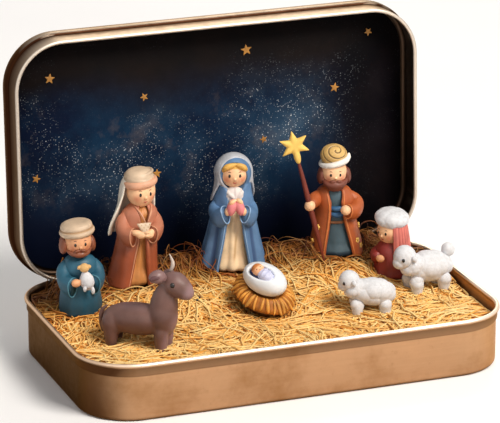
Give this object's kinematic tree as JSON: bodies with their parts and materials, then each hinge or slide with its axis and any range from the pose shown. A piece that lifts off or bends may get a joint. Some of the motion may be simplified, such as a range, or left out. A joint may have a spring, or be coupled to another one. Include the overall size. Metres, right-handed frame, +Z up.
{
  "type": "hinged tin box with nativity figures",
  "caption": "Hinged gold tin standing open, with a straw bed, loose clay nativity figures and animals, a manger, and a lid lined with a night sky.",
  "frame": {"origin": "middle of the tray's flat underside, on the surface that it stands on", "axes": "+X along the tin's length to the right as seen from the front, +Y towards the hinge, +Z up"},
  "size_m": [0.1516, 0.0987, 0.1073],
  "materials": {
    "tin": "gold-lacquered tinplate, satin, lightly brushed",
    "wire": "drawn wire, dull",
    "sky_card": "printed card, matt, night sky with specks",
    "straw": "loose golden fibres, dry",
    "skin": "modelling clay, satin",
    "hair": "modelling clay, satin",
    "cream": "modelling clay, satin",
    "teal": "modelling clay, satin",
    "terracotta": "modelling clay, satin",
    "tan": "modelling clay, satin",
    "gown": "modelling clay, satin",
    "blue": "modelling clay, satin",
    "veil": "modelling clay, satin",
    "rose": "modelling clay, satin",
    "rust": "modelling clay, satin",
    "slate": "modelling clay, satin",
    "gold_clay": "modelling clay, satin",
    "staff": "modelling clay, satin",
    "crimson": "modelling clay, satin",
    "pink": "modelling clay, satin",
    "wool": "modelling clay, matt, stippled",
    "ox": "modelling clay, satin",
    "horn": "modelling clay, satin",
    "basket": "modelling clay, ribbed",
    "swaddle": "modelling clay, satin"
  },
  "bodies": {
    "tray": {"tin_tray": "tin", "hinge_wire": "wire", "straw_bed": "straw"},
    "lid": {"tin_lid": "tin", "sky_lining": "sky_card"},
    "shepherd": {"shepherd_robe": "teal", "shepherd_head": "skin", "shepherd_sleeve_left": "teal", "shepherd_sleeve_right": "teal", "shepherd_hair": "hair", "shepherd_turban": "cream", "shepherd_lamb": "wool", "shepherd_hand": "skin"},
    "father": {"father_robe": "tan", "father_coat": "terracotta", "father_head": "skin", "father_sleeve_left": "terracotta", "father_sleeve_right": "terracotta", "father_hands": "skin", "father_headband": "cream", "father_headcloth": "cream"},
    "mother": {"mother_gown": "gown", "mother_head": "skin", "mother_mantle": "blue", "mother_sleeve_left": "blue", "mother_sleeve_right": "blue", "mother_hands": "rose", "mother_veil": "veil"},
    "king": {"king_tunic": "slate", "king_coat": "rust", "king_head": "skin", "king_hair": "hair", "king_sleeve_left": "rust", "king_sleeve_right": "rust", "king_staff": "staff", "king_hand_left": "skin", "king_hand_right": "skin", "king_turban_band": "wool", "king_turban": "gold_clay", "king_star": "gold_clay"},
    "child": {"child_robe": "crimson", "child_head": "skin", "child_headcloth": "pink", "child_hat": "wool", "child_sleeve": "crimson", "child_hand": "skin"},
    "ox": {"ox_body": "ox", "ox_ear": "ox", "ox_horn": "horn", "ox_tail": "ox"},
    "small_sheep": {"small_sheep_body": "wool", "small_sheep_head": "wool"},
    "large_sheep": {"large_sheep_body": "wool", "large_sheep_head": "wool", "large_sheep_tail": "wool"},
    "manger": {"manger_basket": "basket", "manger_cushion": "wool", "baby_head": "skin", "baby_swaddle": "swaddle"}
  },
  "joints": [
    {"name": "lid_hinge", "type": "hinge", "parent": "tray", "child": "lid", "pos_m": [0, 0.044, 0.0196], "axis": [-1, 0, 0], "range_deg": [-18, 72]},
    {"name": "shepherd_lift", "type": "slide", "parent": "tray", "child": "shepherd", "axis": [0, 0, 1], "range_m": [0, 0.03]},
    {"name": "father_lift", "type": "slide", "parent": "tray", "child": "father", "axis": [0, 0, 1], "range_m": [0, 0.03]},
    {"name": "mother_lift", "type": "slide", "parent": "tray", "child": "mother", "axis": [0, 0, 1], "range_m": [0, 0.03]},
    {"name": "king_lift", "type": "slide", "parent": "tray", "child": "king", "axis": [0, 0, 1], "range_m": [0, 0.03]},
    {"name": "child_lift", "type": "slide", "parent": "tray", "child": "child", "axis": [0, 0, 1], "range_m": [0, 0.03]},
    {"name": "ox_lift", "type": "slide", "parent": "tray", "child": "ox", "axis": [0, 0, 1], "range_m": [0, 0.03]},
    {"name": "small_sheep_lift", "type": "slide", "parent": "tray", "child": "small_sheep", "axis": [0, 0, 1], "range_m": [0, 0.03]},
    {"name": "large_sheep_lift", "type": "slide", "parent": "tray", "child": "large_sheep", "axis": [0, 0, 1], "range_m": [0, 0.03]},
    {"name": "manger_lift", "type": "slide", "parent": "tray", "child": "manger", "axis": [0, 0, 1], "range_m": [0, 0.03]}
  ]
}
